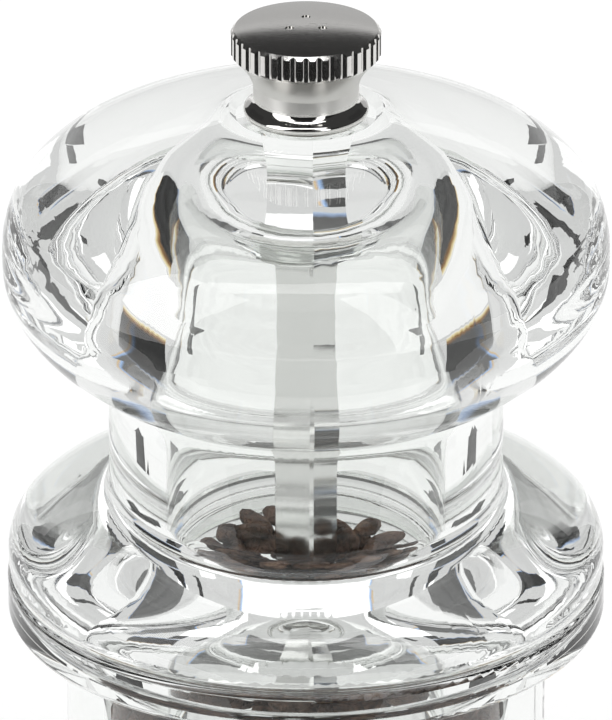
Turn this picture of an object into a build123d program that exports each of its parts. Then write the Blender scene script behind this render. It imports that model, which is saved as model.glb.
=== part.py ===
from build123d import *
import os
from math import asin, cos, radians, sin, sqrt, tan

os.makedirs("parts", exist_ok=True)

# A clear acrylic capstan pepper mill. Millimetres, +Z up, origin at the centre of the foot on the table.

# ---- whole mill ----
mill_radius = 30.55
flange_inset = 0.15
collar_inset = 0.25
cut_overrun = 1.0

# ---- barrel ----
barrel_height = 60.5
tube_radius = 24.5
rim_thickness = 4.4
foot_thickness = 7.0
rim_edge = 0.7
foot_edge = 2.2
flange_fillet = 1.2
bore_radius = 14.2
chamber_radius = 20.6
chamber_roof = 5.2
chamber_fillet = 1.0
throat_land = 2.5
lip_height = 2.0
lip_wall = 1.1
lip_edge = 0.44

# ---- head ----
face_gap = 0.08
lip_gap = 0.7
neck_radius = 20.0
collar_belly = 1.4
collar_rise = 7.75
collar_exponent = 3.0
collar_foot_edge = 0.75
neck_fillet = 2.6
knob_belly = 34.0
knob_crown = 14.9
crown_exponent = 2.72
knob_skirt = 15.9
skirt_exponent = 2.0
dish_radius = 15.0
seat_lip_radius = 7.75
seat_lip_height = 50.5
seat_depth = 0.8
seat_wall = 0.7
recess_fillet = 0.5
cavity_height = 35.8
shoulder_radius = 3.8
boss_radius = 7.0
boss_fillet = 3.2

# ---- finger nut ----
nut_gap = 0.05
nut_foot_radius = 6.25
nut_foot_height = 1.9
nut_foot_edge = 0.35
nut_bead_height = 0.75
nut_neck_radius = 5.3
nut_neck_height = 1.5
nut_cone_height = 3.0
knurl_radius = 7.5
knurl_height = 2.8
knurl_count = 36
knurl_groove = 0.42
knurl_edge = 0.35
knurl_offset = 0.147
knurl_overcut = 0.6
nut_dome = 0.55
nut_roof = 1.4
nut_bore_relief = 0.8
nut_dot_radius = 0.45
nut_dot_depth = 0.16
nut_dot_circle = 1.9
nut_dots = 3

# ---- spindle ----
spindle_across = 4.76
spindle_edge = 0.3
spindle_turn = -35.0
drive_clearance = 0.1
square_relief = 1.6
thread_radius = 2.0
thread_pitch = 0.7
thread_depth = 0.4
thread_clearance = 0.06
shank_inset = 0.2
rivet_radius = 3.2
rivet_height = 1.2
rivet_edge = 0.72

# ---- mechanism ----
foot_recess = 4.8
plate_radius = 20.0
plate_thickness = 1.4
plate_clearance = 0.4
plate_hole_radius = 11.4
stator_radius = 15.0
stator_height = 13.8
stator_clearance = 0.2
key_width = 3.0
key_reach = 1.4
key_height = 5.0
key_root = 1.0
bridge_thickness = 1.2
bridge_width = 7.0
bridge_arch = 9.2
bridge_ring_width = 2.6
bridge_hub_radius = 6.6
bridge_bore_gap = 0.6
bush_wall = 1.15
bush_flange = 2.7
bush_flange_thickness = 0.8
bush_clearance = 0.08
washer_thickness = 0.6
washer_radius = 5.8
washer_clearance = 0.2
spring_wire = 0.4
spring_radius = 4.6
spring_turns = 5
cup_wall = 0.5
cup_gap = 0.25
cup_rim = 1.6
rotor_lift = 0.6
rotor_height = 11.4
rotor_foot_radius = 9.9
rotor_waist_radius = 7.6
rotor_waist = 5.2
rotor_top_radius = 6.2
rotor_clearance = 0.05
burr_gap = 0.55
stator_mouth_radius = 12.2
fine_teeth = 28
fine_depth = 0.55
fine_skew = 20.0
coarse_teeth = 6
coarse_depth = 1.5
coarse_skew = 32.0
rotor_washer_radius = 4.4
rotor_washer_thickness = 0.8
rotor_washer_gap = 0.05
screw_radius = 1.2
screw_clearance = 0.1
screw_head_radius = 2.4
screw_head_height = 1.3
screw_head_edge = 0.2
screw_head_clearance = 0.05
screw_length = 8.0
screw_circle = 17.7
screw_count = 3
slot_width = 0.6
slot_depth = 0.5

# ---- peppercorns ----
corn_gap = 0.3
corn_edge = 0.6
corn_rise = 1.8
corn_radius = 1.95
corn_sink = 0.6
corn_pitch = 0.155
mouth_pitch = 0.245
corn_turn = 137.508
crest_corns = 15

# ---- stations worked out from the sizes above ----
flange_radius = mill_radius - flange_inset
collar_radius = mill_radius - collar_inset
shank_radius = spindle_across / 2 - shank_inset
plate_top = foot_recess + plate_thickness
stator_top = plate_top + stator_height
shoulder_z = stator_top + bridge_thickness
arch_top = shoulder_z + bridge_arch
arch_underside = arch_top - bridge_thickness
bush_underside = arch_underside - bush_flange_thickness
spring_top = bush_underside - washer_thickness
rotor_base = plate_top + rotor_lift
rotor_top = rotor_base + rotor_height
waist_z = rotor_base + rotor_waist
cup_floor = rotor_top + washer_thickness
counterbore_radius = stator_radius + stator_clearance
chamber_top = barrel_height - chamber_roof
funnel_foot = shoulder_z + throat_land
funnel_top = funnel_foot + chamber_radius - bore_radius

head_base = barrel_height + face_gap
mouth_radius = bore_radius + lip_wall + lip_gap
recess_top = barrel_height + lip_height + lip_gap
seat_z = head_base + seat_lip_height - seat_depth
nut_base = seat_z + nut_gap
knurl_base = nut_base + nut_foot_height + nut_neck_height + nut_cone_height
knurl_top = knurl_base + knurl_height
nut_top = knurl_top + nut_dome
square_top = seat_z - square_relief
thread_top = knurl_top - nut_roof
corner_radius = sqrt((spindle_across / 2) ** 2 + (spindle_across / 2 - spindle_edge) ** 2)


def turned(*edges):
    """Solid of revolution about Z of a closed outline drawn in the XZ plane."""
    return revolve(make_face(edges), Axis.Z)


def turned_points(*points):
    corners = [(r, 0, z) for r, z in points]
    return turned(*Polyline(*corners, close=True).edges())


def disc(radius, low, high):
    return Pos(0, 0, low) * Cylinder(radius, high - low, align=(Align.CENTER, Align.CENTER, Align.MIN))


def ring(outer, inner, low, high):
    return disc(outer, low, high) - disc(inner, low, high)


def block(width, depth, low, high):
    return Pos(0, 0, low) * Box(width, depth, high - low, align=(Align.CENTER, Align.CENTER, Align.MIN))


def square_bar(across, edge, low, high):
    bar = block(across, across, low, high)
    if edge:
        bar = chamfer(bar.edges().filter_by(Axis.Z), edge)
    return Rot(0, 0, spindle_turn) * bar


def superellipse(radius, height, exponent, centre, start, end, side, count=9):
    """Points of a superellipse quarter from radius start to end, side +1 above its centre, -1 below."""
    first, last = (asin(min(1, (r / radius) ** (exponent / 2))) for r in (start, end))
    points = []
    for i in range(count):
        angle = first + (last - first) * i / (count - 1)
        r = radius * sin(angle) ** (2 / exponent)
        points.append((r, 0, centre + side * height * max(cos(angle), 0) ** (2 / exponent)))
    return points


def groove(start, end, skew, depth, width, count):
    """Straight skewed V-cuts round a cone that runs from (radius, z) start to end."""
    (r0, z0), (r1, z1) = start, end
    middle = ((r0 + r1) / 2, (z0 + z1) / 2)
    lean = Vector(r1 - r0, 0, z1 - z0)
    length = lean.length * 2.2
    direction = (lean.normalized() + Vector(0, tan(radians(skew)), 0)).normalized()
    outward = Vector(z1 - z0, 0, r0 - r1).normalized()
    face = Plane(origin=(middle[0], 0, middle[1]), x_dir=outward, z_dir=direction)
    cutter = extrude(face * Pos(-depth, 0) * Polygon((0, 0), (width, width), (width, -width), align=None),
                     length / 2, both=True)
    return [Rot(0, 0, 360 * i / count) * cutter for i in range(count)]


# ---- acrylic ----
def rings_at(body, radius, *heights):
    """Circular edges of a body with the given radius, at the given heights."""
    return [edge for edge in body.edges().filter_by(GeomType.CIRCLE)
            if abs(edge.radius - radius) < 0.01 and any(abs(edge.center().Z - z) < 0.01 for z in heights)]


def make_barrel():
    rim_base = barrel_height - rim_thickness
    lip_top = barrel_height + lip_height
    body = disc(tube_radius, 0, barrel_height) + disc(flange_radius, 0, foot_thickness)
    body += disc(flange_radius, rim_base, barrel_height)
    body = fillet(rings_at(body, flange_radius, rim_base, barrel_height), rim_edge)
    body = fillet(rings_at(body, flange_radius, 0, foot_thickness), foot_edge)
    body = fillet(rings_at(body, tube_radius, foot_thickness, rim_base), flange_fillet)
    body += disc(bore_radius + lip_wall, rim_base, lip_top)
    body -= disc(bore_radius, 0, lip_top)
    lip_rings = rings_at(body, bore_radius + lip_wall, lip_top) + rings_at(body, bore_radius, lip_top)
    body = fillet(lip_rings, lip_edge)
    chamber = turned_points((0, funnel_foot), (bore_radius, funnel_foot), (chamber_radius, funnel_top),
                            (chamber_radius, chamber_top), (0, chamber_top))
    body -= fillet(rings_at(chamber, chamber_radius, funnel_top, chamber_top), chamber_fillet)
    body -= disc(counterbore_radius, 0, shoulder_z)
    body -= disc(plate_radius + plate_clearance, -cut_overrun, plate_top)
    body -= keys(stator_clearance)
    return body - at_screws(disc(screw_radius, plate_top, plate_top + screw_length))


def make_head():
    base = head_base
    crown = superellipse(mill_radius, knob_crown, crown_exponent, base + knob_belly,
                         dish_radius, mill_radius, 1)
    skirt = superellipse(mill_radius, knob_skirt, skirt_exponent, base + knob_belly, mill_radius,
                         neck_radius + 0.5, -1)
    collar = superellipse(collar_radius, collar_rise, collar_exponent, base + collar_belly,
                          neck_radius + neck_fillet, collar_radius, 1)
    neck_top = (neck_radius, 0, skirt[-1][2] - neck_fillet)
    neck_foot = (neck_radius, 0, collar[0][2] + neck_fillet)
    seat_lip = (seat_lip_radius, 0, base + seat_lip_height)
    crown_edge = Spline(crown, tangents=[(1, 0, -0.25), (0, 0, -1)])
    skirt_edge = Spline(skirt, tangents=[(0, 0, -1), (-1, 0, -1.0)])
    collar_edge = Spline(collar, tangents=[(1, 0, -0.2), (0, 0, -1)])
    dish_edge = Spline(seat_lip, crown[0], tangents=[(1, 0, -1.1), crown_edge % 0])
    neck_in = Spline(skirt[-1], neck_top, tangents=[skirt_edge % 1, (0, 0, -1)])
    neck_out = Spline(neck_foot, collar[0], tangents=[(0, 0, -1), collar_edge % 0])
    belly = (collar_radius, 0, base + collar_belly)
    foot = (collar_radius - collar_foot_edge, 0, base)
    foot_edge_curve = Spline(belly, foot, tangents=[(0, 0, -1), (-1, 0, -0.35)])
    recess_edge = (bore_radius + recess_fillet, 0, recess_top)
    recess_end = (bore_radius, 0, recess_top + recess_fillet)
    shoulder_foot = (bore_radius, 0, base + cavity_height - shoulder_radius)
    shoulder_top = (bore_radius - shoulder_radius, 0, base + cavity_height)
    boss_root = (boss_radius + boss_fillet, 0, base + cavity_height)
    boss_foot = (boss_radius, 0, base + cavity_height - boss_fillet)
    outline = [
        Line((0, 0, seat_z), (seat_lip_radius - seat_wall, 0, seat_z)),
        Line((seat_lip_radius - seat_wall, 0, seat_z), seat_lip),
        dish_edge, crown_edge, skirt_edge, neck_in, Line(neck_top, neck_foot), neck_out, collar_edge,
        foot_edge_curve, Line(foot, (mouth_radius, 0, base)),
        Line((mouth_radius, 0, base), (mouth_radius, 0, recess_top)),
        Line((mouth_radius, 0, recess_top), recess_edge),
        TangentArc(recess_edge, recess_end, tangent=(-1, 0, 0)),
        Line(recess_end, shoulder_foot),
        TangentArc(shoulder_foot, shoulder_top, tangent=(0, 0, 1)),
        Line(shoulder_top, boss_root),
        TangentArc(boss_root, boss_foot, tangent=(-1, 0, 0)),
        Line(boss_foot, (0, 0, boss_foot[2])),
        Line((0, 0, boss_foot[2]), (0, 0, seat_z)),
    ]
    across = spindle_across + 2 * drive_clearance
    return turned(*outline) - square_bar(across, 0, boss_foot[2] - cut_overrun, seat_z + cut_overrun)


# ---- finger nut and spindle ----
def make_finger_nut():
    bead = nut_base + nut_foot_height
    neck = bead + nut_neck_height
    foot_flat = nut_foot_radius - nut_foot_edge
    knurl_flat = knurl_radius - knurl_edge
    nut = turned(
        Line((0, 0, nut_base), (foot_flat, 0, nut_base)),
        Spline((foot_flat, 0, nut_base), (nut_foot_radius, 0, nut_base + nut_bead_height),
               (nut_neck_radius, 0, bead), tangents=[(1, 0, 0.6), (-0.4, 0, 1)]),
        Line((nut_neck_radius, 0, bead), (nut_neck_radius, 0, neck)),
        Spline((nut_neck_radius, 0, neck), (knurl_flat, 0, knurl_base), tangents=[(0.25, 0, 1), (1, 0, 1)]),
        Line((knurl_flat, 0, knurl_base), (knurl_radius, 0, knurl_base + knurl_edge)),
        Line((knurl_radius, 0, knurl_base + knurl_edge), (knurl_radius, 0, knurl_top - knurl_edge)),
        Line((knurl_radius, 0, knurl_top - knurl_edge), (knurl_flat, 0, knurl_top)),
        Spline((knurl_flat, 0, knurl_top), (0, 0, nut_top), tangents=[(-1, 0, 0.18), (-1, 0, 0)]),
        Line((0, 0, nut_top), (0, 0, nut_base)),
    )
    cutter = disc(knurl_groove, knurl_base - knurl_overcut, knurl_top + cut_overrun)
    nut -= [Rot(0, 0, 360 * i / knurl_count) * Pos(knurl_radius + knurl_offset, 0, 0) * cutter
            for i in range(knurl_count)]
    dot = Pos(nut_dot_circle, 0, 0) * disc(nut_dot_radius, nut_top - nut_dot_depth, nut_top + cut_overrun)
    nut -= [Rot(0, 0, 90 + 360 * i / nut_dots) * dot for i in range(nut_dots)]
    return nut - disc(thread_radius + thread_clearance, nut_base - cut_overrun, thread_top + nut_bore_relief)


def make_spindle():
    shank_foot = rotor_base - rotor_washer_thickness
    bar = square_bar(spindle_across, spindle_edge, rotor_base, square_top)
    bar += disc(shank_radius, shank_foot, rotor_base)
    bar += disc(rivet_radius, shank_foot - rivet_height, shank_foot)
    bar = fillet([e for e in bar.edges().filter_by(GeomType.CIRCLE)
                  if abs(e.center().Z - shank_foot + rivet_height) < 0.01], rivet_edge)
    root = thread_radius - thread_depth
    steps = int((thread_top - square_top) / thread_pitch)
    outline = [(0, square_top - 0.5), (root, square_top - 0.5)]
    for i in range(steps):
        z = square_top + i * thread_pitch
        outline += [(root, z + 0.1 * thread_pitch), (thread_radius, z + 0.45 * thread_pitch),
                    (thread_radius, z + 0.6 * thread_pitch), (root, z + 0.95 * thread_pitch)]
    outline += [(0, outline[-1][1])]
    return bar + turned_points(*outline)


# ---- grinding mechanism ----
def cone_radius(z):
    """Radius of the rotor's fine cone at height z."""
    return rotor_foot_radius + (rotor_waist_radius - rotor_foot_radius) * (z - rotor_base) / rotor_waist


def make_rotor():
    rotor = turned_points((0, rotor_base), (rotor_foot_radius, rotor_base), (rotor_waist_radius, waist_z),
                          (rotor_top_radius, rotor_top), (0, rotor_top))
    rotor -= groove((rotor_foot_radius, rotor_base), (rotor_waist_radius, waist_z), fine_skew,
                    fine_depth, fine_depth * 2, fine_teeth)
    rotor -= groove((rotor_waist_radius, waist_z), (rotor_top_radius, rotor_top), coarse_skew,
                    coarse_depth, coarse_depth * 2, coarse_teeth)
    across = spindle_across + 2 * rotor_clearance
    return rotor - square_bar(across, 0, rotor_base - cut_overrun, rotor_top + cut_overrun)


def make_stator():
    throat = rotor_waist_radius + burr_gap
    body = disc(stator_radius, plate_top, stator_top)
    body -= turned_points((0, plate_top - 0.01), (cone_radius(plate_top) + burr_gap, plate_top - 0.01),
                          (throat, waist_z), (stator_mouth_radius, stator_top + 0.01), (0, stator_top + 0.01))
    fine = groove((cone_radius(plate_top) + burr_gap, plate_top), (throat, waist_z), -fine_skew,
                  -fine_depth, -fine_depth * 2, fine_teeth)
    coarse = groove((throat, waist_z), (stator_mouth_radius, stator_top), -coarse_skew,
                    -coarse_depth, -coarse_depth * 2, coarse_teeth * 2)
    return body - fine - coarse + keys(0)


def keys(clearance):
    reach = stator_radius + key_reach + clearance
    bar = block(2 * reach, key_width + 2 * clearance, plate_top, plate_top + key_height + clearance)
    return bar - disc(stator_radius - key_root, plate_top - cut_overrun, plate_top + key_height + cut_overrun)


def make_bridge():
    outer = bore_radius - bridge_bore_gap
    hoop = ring(stator_radius, stator_radius - bridge_ring_width, stator_top, shoulder_z)
    strap = block(2 * outer, bridge_width, stator_top, arch_top)
    strap -= block(2 * (outer - bridge_thickness), bridge_width + 2 * cut_overrun,
                   stator_top - cut_overrun, arch_underside)
    strap = fillet(strap.edges().filter_by(Axis.Y).group_by(Axis.Z)[-1], bridge_thickness * 1.2)
    hub = disc(bridge_hub_radius, arch_underside, arch_top)
    strap = (strap & disc(outer, 0, barrel_height)) + hub + hoop
    bore = corner_radius + bush_clearance + bush_wall
    return strap - disc(bore, arch_underside - cut_overrun, arch_top + cut_overrun)


def make_bridge_bush():
    inner = corner_radius + bush_clearance
    sleeve = ring(inner + bush_wall, inner, bush_underside, arch_top + bush_flange_thickness)
    return sleeve + ring(inner + bush_flange, inner, bush_underside, arch_underside)


def make_thrust_washer():
    return ring(washer_radius, corner_radius + washer_clearance, spring_top, bush_underside)


def make_spring():
    low, high = cup_floor + spring_wire, spring_top - spring_wire
    pitch = (high - low) / spring_turns
    coil = Helix(pitch, high - low, spring_radius, center=(0, 0, low))
    wire = sweep(Plane(origin=coil @ 0, z_dir=coil % 0) * Circle(spring_wire), path=coil, is_frenet=True)
    return wire


def make_spring_cup():
    rim = spring_radius + spring_wire + cup_gap
    floor = ring(rim + cup_wall, corner_radius + washer_clearance, rotor_top, cup_floor)
    return floor + ring(rim + cup_wall, rim, rotor_top, cup_floor + cup_rim)


def make_rotor_washer():
    hole = shank_radius + rotor_washer_gap
    return ring(rotor_washer_radius, hole, rotor_base - rotor_washer_thickness, rotor_base)


def at_screws(shape):
    return [Rot(0, 0, 90 + 360 * i / screw_count) * Pos(screw_circle, 0, 0) * shape
            for i in range(screw_count)]


def screw_head(clearance):
    rim, low = screw_head_radius + clearance, foot_recess
    high = low + screw_head_height
    hole = screw_radius + clearance
    return turned_points((0, low), (rim, low), (rim, low + screw_head_edge), (hole, high), (0, high))


def make_retaining_plate():
    plate = ring(plate_radius, plate_hole_radius, foot_recess, plate_top)
    hole = disc(screw_radius + screw_clearance, 0, barrel_height)
    cuts = at_screws(hole) + at_screws(screw_head(screw_head_clearance))
    return plate - cuts


def make_plate_screws():
    screw = screw_head(0) + disc(screw_radius, foot_recess + slot_depth, plate_top + screw_length)
    screw -= block(3 * screw_head_radius, slot_width, foot_recess - cut_overrun, foot_recess + slot_depth)
    screw -= block(slot_width, 3 * screw_head_radius, foot_recess - cut_overrun, foot_recess + slot_depth)
    return Compound(children=at_screws(screw))


# ---- contents ----
def corn_spiral(reach, pitch, low, high):
    """Centres of corns against a wall, each a golden turn on from the last."""
    return [(reach, index * corn_turn, low + index * pitch) for index in range(int((high - low) / pitch))]


def make_peppercorns():
    inner = corner_radius + corn_gap
    wall, mouth = (radius - corn_gap - corn_radius for radius in (chamber_radius, bore_radius))
    roof = chamber_top - corn_gap
    slope = (corn_rise + corn_edge) / (mouth + corn_radius - inner)
    crest = barrel_height + corn_rise - corn_radius + corn_sink
    core, neck, brim = wall - corn_sink, mouth - corn_sink, bore_radius + corn_gap
    lift = funnel_foot - bore_radius + corn_gap * sqrt(2)
    heap = turned_points((inner, arch_top), (brim, arch_top), (brim, lift + brim), (core, lift + core),
                         (core, roof), (neck, roof), (neck, crest - slope * (neck - inner)), (inner, crest))
    corns = corn_spiral(wall, corn_pitch, lift + wall + corn_radius * sqrt(2), roof - corn_radius)
    corns += corn_spiral(mouth, mouth_pitch, roof, barrel_height - corn_edge - corn_radius + corn_sink)
    near, far = inner + corn_radius + corn_gap, mouth - corn_radius - corn_sink
    for index in range(crest_corns):  # on the crest
        reach = sqrt(near ** 2 + (far ** 2 - near ** 2) * (index + 0.5) / crest_corns)
        corns.append((reach, index * corn_turn, crest - slope * (reach - inner)))
    heap = heap.fuse(*[Rot(0, 0, turn) * Pos(reach, 0, z) * Sphere(corn_radius) for reach, turn, z in corns])
    return heap - disc(corner_radius + bush_clearance + bush_wall + corn_gap, arch_top - cut_overrun,
                       arch_top + bush_flange_thickness + corn_gap)


parts = {
    "barrel": make_barrel(),
    "head": make_head(),
    "finger_nut": make_finger_nut(),
    "spindle": make_spindle(),
    "rotor": make_rotor(),
    "stator": make_stator(),
    "bridge": make_bridge(),
    "bridge_bush": make_bridge_bush(),
    "thrust_washer": make_thrust_washer(),
    "spring": make_spring(),
    "spring_cup": make_spring_cup(),
    "rotor_washer": make_rotor_washer(),
    "retaining_plate": make_retaining_plate(),
    "plate_screws": make_plate_screws(),
    "peppercorns": make_peppercorns(),
}
for name, shape in parts.items():
    export_step(shape, f"parts/{name}.step")
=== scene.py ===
import bpy
import random
from math import cos, pi, radians, sin
from mathutils import Euler, Matrix, Vector


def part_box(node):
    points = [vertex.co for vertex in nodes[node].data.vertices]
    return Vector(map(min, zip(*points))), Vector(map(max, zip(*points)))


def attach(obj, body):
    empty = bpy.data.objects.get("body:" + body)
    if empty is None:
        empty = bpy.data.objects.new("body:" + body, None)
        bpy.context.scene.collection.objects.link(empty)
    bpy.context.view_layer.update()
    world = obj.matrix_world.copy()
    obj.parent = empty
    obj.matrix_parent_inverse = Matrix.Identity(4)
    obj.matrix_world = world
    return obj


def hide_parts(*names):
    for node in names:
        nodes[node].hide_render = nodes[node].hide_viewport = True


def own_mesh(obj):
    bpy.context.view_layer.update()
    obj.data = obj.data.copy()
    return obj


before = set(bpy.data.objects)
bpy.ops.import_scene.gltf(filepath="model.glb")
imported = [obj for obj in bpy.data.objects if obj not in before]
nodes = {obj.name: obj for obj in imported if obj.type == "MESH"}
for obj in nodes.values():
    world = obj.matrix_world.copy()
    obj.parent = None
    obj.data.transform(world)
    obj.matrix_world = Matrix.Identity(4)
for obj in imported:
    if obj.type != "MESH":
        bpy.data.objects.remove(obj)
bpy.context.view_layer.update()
mm = 0.001
nutLow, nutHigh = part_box("finger_nut")
springLow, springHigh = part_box("spring")
print("frame loaded:", len(nodes), "nodes")


def clearSelection():
    if bpy.context.mode != "OBJECT":
        bpy.ops.object.mode_set(mode="OBJECT")
    bpy.ops.object.select_all(action="DESELECT")


def newMaterial(name, **sockets):
    material = bpy.data.materials.new(name)
    material.use_nodes = True
    shader = material.node_tree.nodes["Principled BSDF"]
    for socket, value in sockets.items():
        shader.inputs[socket.replace("_", " ")].default_value = value
    return material, material.node_tree, shader


def addNode(tree, kind, **settings):
    node = tree.nodes.new("ShaderNode" + kind)
    for key, value in settings.items():
        if key in node.inputs:
            node.inputs[key].default_value = value
        else:
            setattr(node, key, value)
    return node


def objectPoint(tree, scale=(1, 1, 1)):  # the surface point in metres, stretched per axis
    place = addNode(tree, "TexCoord")
    mapping = addNode(tree, "Mapping", Scale=scale)
    tree.links.new(place.outputs["Object"], mapping.inputs["Vector"])
    return mapping.outputs["Vector"]


def alongAxis(tree, axis):  # one coordinate of the surface point
    place = addNode(tree, "TexCoord")
    split = addNode(tree, "SeparateXYZ")
    tree.links.new(place.outputs["Object"], split.inputs["Vector"])
    return split.outputs[axis]


def noiseOn(tree, point, scale, detail=3, roughness=0.55):
    noise = addNode(tree, "TexNoise", Scale=scale, Detail=detail, Roughness=roughness)
    tree.links.new(point, noise.inputs["Vector"])
    return noise.outputs["Fac"]


def spread(tree, value, low, high, fromLow=0.3, fromHigh=0.7):  # maps a 0..1 pattern onto low..high
    node = addNode(tree, "MapRange")
    for key, number in (("From Min", fromLow), ("From Max", fromHigh), ("To Min", low), ("To Max", high)):
        node.inputs[key].default_value = number
    tree.links.new(value, node.inputs["Value"])
    return node.outputs["Result"]


def colourSteps(tree, value, *steps):  # steps are (position, (r, g, b))
    ramp = addNode(tree, "ValToRGB")
    while len(ramp.color_ramp.elements) < len(steps):
        ramp.color_ramp.elements.new(0.5)
    for element, (position, colour) in zip(ramp.color_ramp.elements, steps):
        element.position = position
        element.color = (*colour, 1)
    tree.links.new(value, ramp.inputs["Fac"])
    return ramp.outputs["Color"]


def raiseBy(tree, shader, height, distance, strength=1.0):  # fine relief, distance in metres
    bump = addNode(tree, "Bump", Strength=strength, Distance=distance)
    tree.links.new(height, bump.inputs["Height"])
    tree.links.new(bump.outputs["Normal"], shader.inputs["Normal"])


def finish(obj, material, body, replaced):
    obj.data.materials.clear()
    obj.data.materials.append(material)
    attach(obj, body)
    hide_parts(replaced)


def dress(node, material):
    for place in nodes[node].material_slots:
        place.material = material


# stage: camera, pale floor, soft light
stageSet = {
    "cameraDistance": 1.0, "cameraElevation": 24.87, "cameraAim": 83.25 * mm, "lens": 495.2,
    "floorDrop": 0.05 * mm, "floorSize": 8.0, "floorColour": (0.93, 0.93, 0.93, 1), "floorGlow": 0.12,
    "backdropPlace": (0, 0.9, 0.28), "backdropSize": (1.1, 0.56), "backdropGrey": 0.84,
    "glassGrey": 0.72, "mirrorGrey": 0.05,
}


def makeCamera():
    tilt = radians(stageSet["cameraElevation"])
    away = Vector((0, -cos(tilt), sin(tilt)))
    data = bpy.data.cameras.new("camera")
    data.lens = stageSet["lens"]
    data.sensor_width = 36
    data.clip_start = 0.01
    camera = bpy.data.objects.new("camera", data)
    bpy.context.scene.collection.objects.link(camera)
    camera.location = Vector((0, 0, stageSet["cameraAim"])) + away * stageSet["cameraDistance"]
    camera.rotation_euler = (pi / 2 - tilt, 0, 0)
    bpy.context.scene.camera = camera


def makeWorld():  # white to the camera and the floor, grey to the acrylic, dark to the metal
    world = bpy.data.worlds.new("studio")
    bpy.context.scene.world = world
    world.use_nodes = True
    tree = world.node_tree
    sort = addNode(tree, "LightPath")
    plain = addNode(tree, "Math", operation="MAXIMUM")
    tree.links.new(sort.outputs["Is Camera Ray"], plain.inputs[0])
    tree.links.new(sort.outputs["Is Diffuse Ray"], plain.inputs[1])
    light = addNode(tree, "Math", operation="MAXIMUM")
    tree.links.new(plain.outputs[0], light.inputs[0])
    through = sort.outputs["Is Transmission Ray"]
    grey = spread(tree, through, stageSet["mirrorGrey"], stageSet["glassGrey"], 0, 1)
    tree.links.new(grey, light.inputs[1])
    tree.links.new(light.outputs[0], tree.nodes["Background"].inputs["Color"])
    tree.nodes["Background"].inputs["Strength"].default_value = 1.0


def makeFloor():
    clearSelection()
    bpy.ops.mesh.primitive_plane_add(size=stageSet["floorSize"], location=(0, 0, -stageSet["floorDrop"]))
    floor = bpy.context.object
    floor.name = "floor"
    material, tree, shader = newMaterial("floor", Base_Color=stageSet["floorColour"], Roughness=0.7)
    shader.inputs["Emission Color"].default_value = (1, 1, 1, 1)
    shader.inputs["Emission Strength"].default_value = stageSet["floorGlow"]
    shader.inputs["Specular IOR Level"].default_value = 0.0
    floor.data.materials.append(material)


# light and dark cards round the mill: its clear acrylic sees those for glass, its metal those for mirror
# a card stands at (azimuth, elevation, distance), facing the mill, or is laid on the floor at (x, y)
cardSet = {
    "aim": 85.5 * mm, "lift": 1.0 * mm,
    "black": {"left": 0.03, "right": 0.09},
    "pairs": {  # one to the left and one to the right; black where no glow is given
        "flag_wide": {"at": (59, 12, 0.50), "size": (0.44, 0.22), "fringe": ("Y", "low")},
        "flag_lobe": {"at": (76, 32, 0.60), "size": (0.13, 0.13), "fringe": ("X", "ends")},
        "flag_rim": {"at": (99.5, 28.5, 0.60), "size": (0.035, 0.13), "roll": 25},
        "rim_light": {"at": (110, 16, 0.60), "size": (0.12, 0.14), "glow": 1.3},
        "flag_low": {"laid": (0.112, 0.062), "size": (0.030, 0.050)},
        "flag_bow": {"laid": (0.098, 0.093), "size": (0.056, 0.028)},
        "flag_streak": {"laid": (0.105, 0.128), "size": (0.026, 0.040)},
        "side_light": {"at": (92, 50, 0.60), "size": (0.34, 0.30), "glow": 1.5},
    },
    "singles": {
        "panel_left": {"at": (-123, 22, 0.45), "size": (0.28, 0.62), "roll": -8, "glow": 2.4,
                       "seen": "mirror"},
        "panel_right": {"at": (145, 22, 0.45), "size": (0.12, 0.62), "roll": 8, "glow": 2.4,
                        "seen": "mirror"},
        "top_light": {"at": (180, 66, 0.50), "size": (0.50, 0.09), "glow": 3.0, "seen": "mirror"},
        "front_light": {"at": (180, 26, 0.60), "size": (1.1, 0.16), "glow": 1.5, "fringe": ("X", "ends")},
        "ceiling_grey": {"at": (0, 46, 0.80), "size": (0.95, 0.40), "glow": 0.17, "fringe": ("X", "ends")},
        "ceiling_black": {"at": (0, 48, 0.70), "size": (1.5, 0.52), "glow": 0.04, "seen": "mirror"},
        "front_black": {"at": (180, 18, 0.55), "size": (1.9, 0.62), "glow": 0.02, "seen": "mirror"},
        "back_grey": {"at": (0, 12, 0.75), "size": (0.9, 0.32), "glow": 0.55, "seen": "mirror"},
        "front_floor_black": {"laid": (0, -0.31), "size": (0.9, 0.36), "glow": 0.02, "seen": "mirror"},
    },
    "fringes": {  # (position across the card, colour), and 0 for the card's own value
        "low": ((0, (1, 1, 1)), (0.03, (0.85, 0.72, 0.4)), (0.07, (0.3, 0.16, 0.06)), (0.12, 0), (0.9, 0),
                (0.96, (0.3, 0.4, 0.6)), (1, (0.6, 0.7, 0.85))),
        "ends": ((0, (0.7, 0.7, 0.7)), (0.012, (0.8, 0.55, 0.25)), (0.035, (0.4, 0.6, 0.95)), (0.06, 0),
                 (0.94, 0), (0.965, (0.4, 0.6, 0.95)), (0.988, (0.8, 0.55, 0.25)), (1, (0.7, 0.7, 0.7))),
    },
}


def glowMaterial(name, value, fringe):
    material = bpy.data.materials.new(name)
    material.use_nodes = True
    tree = material.node_tree
    tree.nodes.clear()
    glow = addNode(tree, "Emission", Strength=1.0)
    glow.inputs["Color"].default_value = (value, value, value, 1)
    if fringe:  # coloured borders along an axis of the card, as clear plastic splits light at an edge
        axis, kind = fringe
        across = spread(tree, alongAxis(tree, axis), 0, 1, -0.5, 0.5)
        steps = [(at, colour or (value,) * 3) for at, colour in cardSet["fringes"][kind]]
        tree.links.new(colourSteps(tree, across, *steps), glow.inputs["Color"])
    output = addNode(tree, "OutputMaterial")
    tree.links.new(glow.outputs["Emission"], output.inputs["Surface"])
    return material


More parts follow.
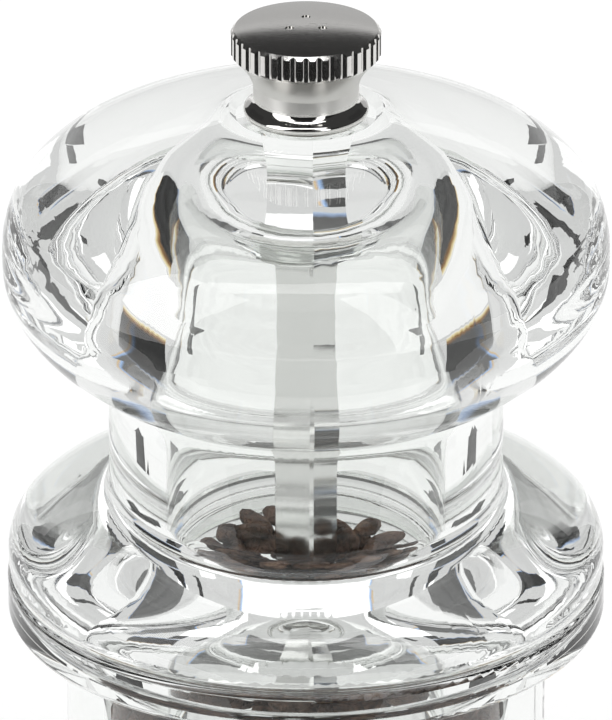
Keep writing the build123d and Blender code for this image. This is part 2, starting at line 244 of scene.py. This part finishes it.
def stageCard(card, name, value, fringe=None, seen="both"):
    card.name = name
    card.data.materials.append(glowMaterial(name, value, fringe))
    card.visible_camera = False
    card.visible_shadow = False
    card.visible_diffuse = False
    card.visible_transmission = seen != "mirror"
    card.visible_glossy = seen != "glass"


def makeCard(name, look, side=1):  # side -1 mirrors it to the left
    clearSelection()
    bpy.ops.mesh.primitive_plane_add(size=1)
    card = bpy.context.object
    card.scale = (*look["size"], 1)
    if "laid" in look:
        x, y = look["laid"]
        card.location = (side * x, y, cardSet["lift"])
    else:
        azimuth, elevation, distance = look["at"]
        turn = radians(side * azimuth)
        lift = radians(elevation)
        aim = Vector((0, 0, cardSet["aim"]))
        centre = aim + distance * Vector((cos(lift) * sin(turn), cos(lift) * cos(turn), sin(lift)))
        roll = Euler((0, 0, radians(side * look.get("roll", 0)))).to_quaternion()
        card.location = centre
        card.rotation_euler = ((aim - centre).to_track_quat("-Z", "Y") @ roll).to_euler()
    stageCard(card, name, look["glow"], look.get("fringe"), look.get("seen", "glass"))


def makeStage():
    makeCamera()
    makeWorld()
    makeFloor()
    for side, name in ((-1, "left"), (1, "right")):
        for kind, look in cardSet["pairs"].items():
            makeCard(kind + "_" + name, {"glow": cardSet["black"][name], **look}, side)
    for name, look in cardSet["singles"].items():
        makeCard(name, look)
    clearSelection()
    bpy.ops.mesh.primitive_plane_add(size=1, location=stageSet["backdropPlace"], rotation=(pi / 2, 0, 0))
    bpy.context.object.scale = (*stageSet["backdropSize"], 1)
    stageCard(bpy.context.object, "backdrop", stageSet["backdropGrey"])
    bpy.context.scene.view_settings.view_transform = "Standard"
    cycles = bpy.context.scene.cycles
    cycles.max_bounces = 24
    cycles.transmission_bounces = 24
    cycles.glossy_bounces = 12
    print("stage ready")


# clear acrylic of the head and the barrel
acrylicSet = {"tint": (0.925, 0.938, 0.925, 1), "ior": 1.49}


def acrylicMaterial(name):
    return newMaterial(name, Base_Color=acrylicSet["tint"], Roughness=0.0, IOR=acrylicSet["ior"],
                       Transmission_Weight=1.0)[0]


# plated nut: bright foot bead and knurls, satin neck and top
nutSet = {
    "colour": (0.70, 0.69, 0.67, 1), "bright": 0.05, "neck": 0.34, "knurls": 0.12, "top": 0.15,
    "zones": ((0.0, "bright"), (0.19, "bright"), (0.24, "neck"), (0.63, "neck"), (0.67, "knurls"),
              (0.9, "knurls"), (0.945, "top")),  # where up the nut each roughness holds
    "speckScale": 5200, "speck": 0.06, "pitScale": 3600, "pit": 0.006 * mm,
}


def chromeMaterial():
    material, tree, shader = newMaterial("nut_chrome", Base_Color=nutSet["colour"], Metallic=1.0,
                                         Roughness=nutSet["bright"])
    rise = spread(tree, alongAxis(tree, "Z"), 0, 1, nutLow.z, nutHigh.z)
    zones = colourSteps(tree, rise, *((at, (nutSet[zone],) * 3) for at, zone in nutSet["zones"]))
    point = objectPoint(tree)
    speck = noiseOn(tree, point, nutSet["speckScale"], 2, 0.5)
    worn = addNode(tree, "MixRGB", blend_type="ADD", Fac=1.0)
    tree.links.new(zones, worn.inputs["Color1"])
    tree.links.new(spread(tree, speck, 0, nutSet["speck"], 0.5, 0.75), worn.inputs["Color2"])
    tree.links.new(worn.outputs["Color"], shader.inputs["Roughness"])
    raiseBy(tree, shader, noiseOn(tree, point, nutSet["pitScale"]), nutSet["pit"], 0.6)
    return material


# steel inside: drawn bar, hardened burrs, stamped strip, wire, brushed plate and screws
steelSet = {
    "spindle_steel": {"nodes": ("spindle",), "colour": (0.72, 0.72, 0.71), "roughness": 0.1,
                      "grain": 5000, "relief": 0.01 * mm, "stretch": (1, 1, 0.02)},
    "burr_steel": {"nodes": ("rotor",), "colour": (0.3, 0.3, 0.31), "roughness": 0.4,
                   "grain": 1500, "relief": 0.02 * mm},
    "stator_steel": {"nodes": ("stator",), "colour": (0.36, 0.36, 0.37), "roughness": 0.38,
                     "grain": 1500, "relief": 0.02 * mm},
    "pressed_steel": {"nodes": ("bridge", "spring_cup", "thrust_washer", "rotor_washer"),
                      "colour": (0.62, 0.62, 0.61), "roughness": 0.28, "grain": 900, "relief": 0.01 * mm},
    "spring_steel": {"nodes": (), "colour": (0.5, 0.5, 0.5), "roughness": 0.25,
                     "grain": 1500, "relief": 0.01 * mm},  # for the wound spring
    "plate_steel": {"nodes": ("retaining_plate",), "colour": (0.66, 0.66, 0.65), "roughness": 0.3,
                    "grain": 3000, "relief": 0.01 * mm, "stretch": (1, 0.05, 1)},
    "screw_steel": {"nodes": ("plate_screws",), "colour": (0.6, 0.6, 0.58), "roughness": 0.2,
                    "grain": 1500, "relief": 0.01 * mm},
}


def steelMaterial(name):
    look = steelSet[name]
    roughness = look["roughness"]
    material, tree, shader = newMaterial(name, Base_Color=(*look["colour"], 1), Metallic=1.0,
                                         Roughness=roughness)
    point = objectPoint(tree, look.get("stretch", (1, 1, 1)))
    grain = noiseOn(tree, point, look["grain"], 4)
    tree.links.new(spread(tree, grain, roughness * 0.75, roughness * 1.3), shader.inputs["Roughness"])
    raiseBy(tree, shader, grain, look["relief"], 0.5)
    return material


# spring: wound wire at the height of the spring it replaces; the real one shortens as the spindle rises,
# this one stays fixed
springSet = {
    "wire": 0.4 * mm, "radius": 4.6 * mm, "turns": 5, "travel": 0.525 * mm, "sides": 12, "steps": 36,
}


def makeSpring(material):
    k = springSet
    low = springLow.z + k["wire"]
    high = springHigh.z - k["wire"]
    clearSelection()
    bpy.ops.mesh.primitive_circle_add(vertices=k["sides"], radius=k["wire"], location=(k["radius"], 0, low),
                                      rotation=(pi / 2, 0, 0))
    spring = bpy.context.object
    spring.name = "wound_spring"
    bpy.ops.object.transform_apply(location=True, rotation=True, scale=True)
    wind = spring.modifiers.new("wind", "SCREW")
    wind.angle = 2 * pi
    wind.iterations = k["turns"]
    wind.screw_offset = (high - low) / k["turns"]
    wind.steps = k["steps"]
    wind.render_steps = k["steps"]
    bpy.ops.object.modifier_apply(modifier="wind")
    bpy.ops.object.mode_set(mode="EDIT")
    bpy.ops.mesh.select_all(action="SELECT")
    bpy.ops.mesh.fill_holes(sides=0)  # closes the wire's two ends
    bpy.ops.mesh.normals_make_consistent(inside=False)
    bpy.ops.object.mode_set(mode="OBJECT")
    spring.data.shade_smooth()
    finish(spring, material, "spring_seat", "spring")
    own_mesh(spring)
    print("spring wound:", len(spring.data.vertices), "points")


# peppercorns
cornSet = {
    "seed": 11, "radius": 1.95 * mm, "sizes": (0.93, 1.1), "jitter": 0.16 * mm, "anyTurn": 6.3,
    "shapes": 8, "wrinkle": 0.13, "stretch": 1.16, "turn": 137.508,
    "wallReach": 18.35 * mm, "wallPitch": 0.155 * mm, "wallFoot": 31.0 * mm, "roof": 53.2 * mm,
    "backReach": 14.5 * mm, "backPitch": 1.25, "innerReach": 10.8 * mm, "innerPitch": 1.7,  # times wallPitch
    "mouthReach": 11.95 * mm, "mouthPitch": 0.245 * mm, "mouthFoot": 54.8 * mm, "mouthTop": 59.4 * mm,
    "crestNear": 5.7 * mm, "crestFar": 9.4 * mm, "crestTop": 61.0 * mm, "crestSlope": 0.1, "crestCount": 15,
    "funnelFoot": 23.7 * mm, "boreRadius": 14.2 * mm,
    "rows": 2, "rowStart": 0.6, "rowStep": 1.35, "rowGap": 2.1,  # on the funnel, in corn radii
    "throatFloor": 21.4 * mm, "throatPitch": 1.05, "strapHalf": 3.6 * mm,
    "flakeShapes": 3, "flakeStretch": (1.3, 0.66, 0.4), "flakeTilt": 0.35,
    "flakes": ((9.8, 150, 62.5), (9.2, 128, 62.8), (10.2, 168, 62.2), (7.6, 143, 62.6), (9.4, 108, 62.3),
               (7.4, 196, 62.1), (6.8, 246, 61.9), (9.8, 46, 62.1), (9.6, 26, 62.1), (10.4, 8, 61.9),
               (8.0, 68, 62.2), (7.2, 330, 61.8)),  # reach in mm, angle, height in mm
    "skin": ((0.3, (0.02, 0.014, 0.01)), (0.45, (0.10, 0.06, 0.042)), (0.58, (0.25, 0.15, 0.105)),
             (0.74, (0.45, 0.31, 0.22))),
    "patchScale": 330, "ridgeScale": 1150, "ridgeDepth": 0.5 * mm, "wobbleScale": 900, "wobble": 1.2 * mm,
}


def layCorns():  # golden-turn spirals from the wall inwards, then the crest, the funnel and the throat
    k = cornSet
    spots = []

    def spiral(reach, pitch, low, high, start=0, clearStrap=False):
        for index in range(int((high - low) / pitch)):
            angle = start + index * k["turn"]
            if not clearStrap or abs(sin(radians(angle))) * reach > k["strapHalf"] + k["radius"]:
                spots.append((reach, angle, low + index * pitch))

    spiral(k["wallReach"], k["wallPitch"], k["wallFoot"], k["roof"])
    spiral(k["backReach"], k["wallPitch"] * k["backPitch"], k["wallFoot"], k["roof"], 60)
    spiral(k["innerReach"], k["wallPitch"] * k["innerPitch"], k["wallFoot"], k["roof"], 100)
    spiral(k["mouthReach"], k["mouthPitch"], k["mouthFoot"], k["mouthTop"], 20)
    for index in range(k["crestCount"]):
        part = (index + 0.5) / k["crestCount"]
        reach = (k["crestNear"] ** 2 + (k["crestFar"] ** 2 - k["crestNear"] ** 2) * part) ** 0.5
        spots.append((reach, index * k["turn"], k["crestTop"] - k["crestSlope"] * (reach - k["crestNear"])))
    skin = k["radius"] * 2 ** 0.5
    for row in range(k["rows"]):  # on the funnel's slope
        reach = k["boreRadius"] + (k["rowStart"] + row * k["rowStep"]) * k["radius"]
        count = int(2 * pi * reach / (k["rowGap"] * k["radius"]))
        for index in range(count):
            angle = 360 * (index + row / 2) / count
            spots.append((reach, angle, k["funnelFoot"] + reach - k["boreRadius"] + skin))
    throat = k["throatFloor"] + k["radius"]
    spiral(k["mouthReach"], k["mouthPitch"] * k["throatPitch"], throat, k["wallFoot"], 0, True)
    rng = random.Random(k["seed"])
    places = []
    for reach, angle, height in spots:
        shift = Vector([rng.uniform(-1, 1) * k["jitter"] for axis in range(3)])
        size = k["radius"] * rng.uniform(*k["sizes"])
        out = reach - max(0, size - k["radius"])
        spot = Vector((out * cos(radians(angle)), out * sin(radians(angle)), height))
        places.append((spot + shift, size))
    print("corns laid:", len(places))
    return places


def cornShapes():  # round ones, then split flakes
    k = cornSet
    shapes = []
    for index in range(k["shapes"] + k["flakeShapes"]):
        clearSelection()
        bpy.ops.mesh.primitive_ico_sphere_add(subdivisions=2, radius=1)
        shape = bpy.context.object
        rng = random.Random(index + 5)
        stretch = (1, 1, k["stretch"] if index % 2 else 1 / k["stretch"])
        if index >= k["shapes"]:
            stretch = k["flakeStretch"]
        for vertex in shape.data.vertices:
            x, y, z = vertex.co * (1 + k["wrinkle"] * rng.uniform(-1, 0.5))
            vertex.co = (x * stretch[0], y * stretch[1], z * stretch[2])
        shape.data.shade_smooth()
        shapes.append(shape)
    return shapes[:k["shapes"]], shapes[k["shapes"]:]


def cornMaterial():
    k = cornSet
    material, tree, shader = newMaterial("peppercorn", Roughness=0.7, Base_Color=(0.07, 0.042, 0.03, 1))
    point = objectPoint(tree)
    patch = noiseOn(tree, point, k["patchScale"], 5, 0.65)
    tree.links.new(colourSteps(tree, patch, *k["skin"]), shader.inputs["Base Color"])
    ridges = addNode(tree, "TexVoronoi", Scale=k["ridgeScale"], feature="DISTANCE_TO_EDGE")
    warped = addNode(tree, "VectorMath", operation="ADD")
    wobble = addNode(tree, "TexNoise", Scale=k["wobbleScale"], Detail=2)
    tree.links.new(point, wobble.inputs["Vector"])
    shrunk = addNode(tree, "VectorMath", operation="SCALE", Scale=k["wobble"])
    tree.links.new(wobble.outputs["Color"], shrunk.inputs[0])
    tree.links.new(point, warped.inputs[0])
    tree.links.new(shrunk.outputs["Vector"], warped.inputs[1])
    tree.links.new(warped.outputs["Vector"], ridges.inputs["Vector"])
    raiseBy(tree, shader, ridges.outputs["Distance"], -k["ridgeDepth"])
    return material


def makeCorns():
    k = cornSet
    rounds, flakes = cornShapes()
    rng = random.Random(k["seed"])
    copies = []

    def drop(shape, spot, size, low, high):  # low and high limit its tilt
        turn = Euler((rng.uniform(low, high), rng.uniform(low, high), rng.uniform(0, k["anyTurn"])))
        corn = shape.copy()
        corn.data = corn.data.copy()
        corn.data.transform(Matrix.Translation(spot) @ turn.to_matrix().to_4x4() @ Matrix.Scale(size, 4))
        bpy.context.scene.collection.objects.link(corn)
        copies.append(corn)

    for spot, size in layCorns():
        drop(rng.choice(rounds), spot, size, 0, k["anyTurn"])
    for reach, angle, height in k["flakes"]:  # lying on the heap
        spot = Vector((reach * cos(radians(angle)), reach * sin(radians(angle)), height)) * mm
        drop(rng.choice(flakes), spot, k["radius"], -k["flakeTilt"], k["flakeTilt"])
    clearSelection()
    for corn in copies:
        corn.select_set(True)
    bpy.context.view_layer.objects.active = copies[0]
    bpy.ops.object.join()
    corns = bpy.context.object
    corns.name = "corn_heap"
    for shape in rounds + flakes:
        bpy.data.objects.remove(shape)
    finish(corns, cornMaterial(), "barrel", "peppercorns")


makeStage()
dress("head", acrylicMaterial("head_acrylic"))
dress("barrel", acrylicMaterial("barrel_acrylic"))
dress("finger_nut", chromeMaterial())
steels = {name: steelMaterial(name) for name in steelSet}
for name, look in steelSet.items():
    for node in look["nodes"]:
        dress(node, steels[name])
dress("bridge_bush", newMaterial("nylon", Base_Color=(0.86, 0.85, 0.8, 1), Roughness=0.45)[0])
print("mill dressed:", len(steels), "steels")
makeSpring(steels["spring_steel"])
makeCorns()
